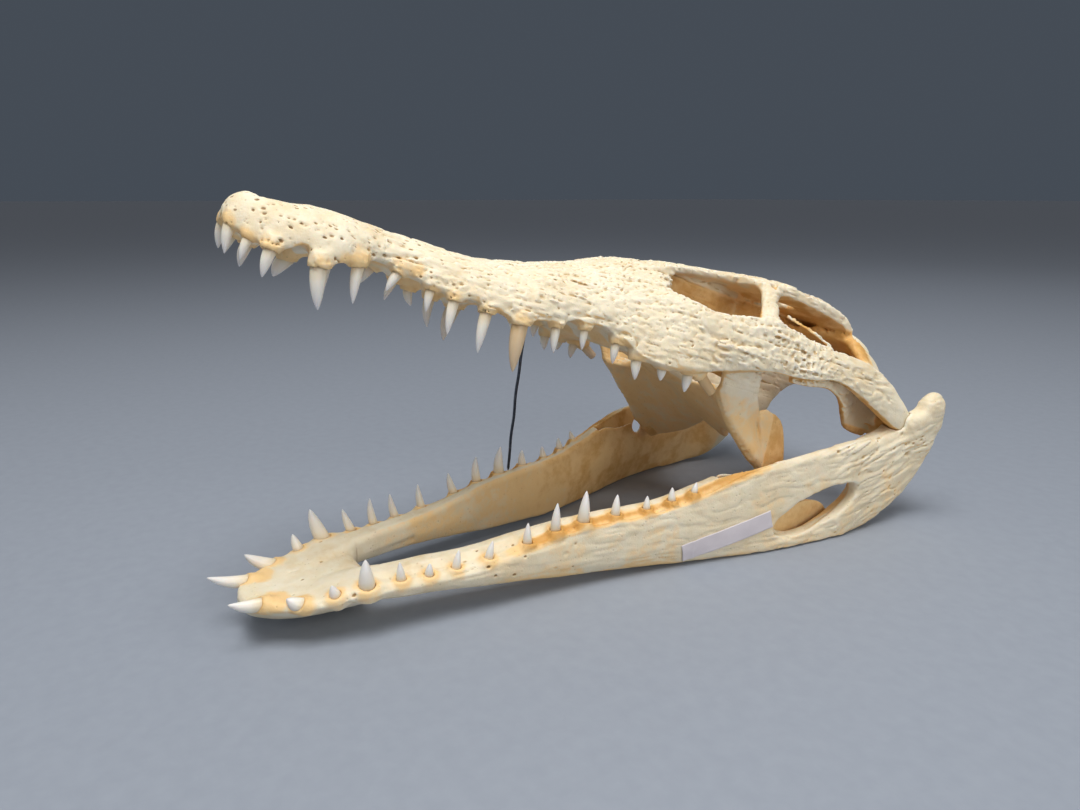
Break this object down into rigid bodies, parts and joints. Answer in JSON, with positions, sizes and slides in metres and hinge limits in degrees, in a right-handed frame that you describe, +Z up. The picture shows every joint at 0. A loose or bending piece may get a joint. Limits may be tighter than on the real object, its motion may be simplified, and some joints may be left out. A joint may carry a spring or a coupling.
{
  "type": "crocodile skull",
  "caption": "Cleaned skull of a young crocodile standing on its lower jaw, mouth held open by a thin steel prop wire, with a blank paper label on one jaw.",
  "frame": {"origin": "centre of the bounding box at floor level, under the middle of the skull", "axes": "+Z up, snout towards -Y, the animal's left side towards +X"},
  "size_m": [0.1494, 0.3472, 0.1657],
  "materials": {
    "bone": "dry cleaned bone, cream with ochre stains in recesses",
    "steel_wire": "dark blued steel wire",
    "paper": "white paper tape, matt"
  },
  "bodies": {
    "root": {"premaxillae": "bone", "maxillae": "bone", "braincase": "bone", "cheek_left": "bone", "cheek_right": "bone", "pterygoid_left": "bone", "pterygoid_right": "bone", "mandible_left": "bone", "mandible_right": "bone", "prop_wire": "steel_wire", "label": "paper"}
  },
  "joints": []
}
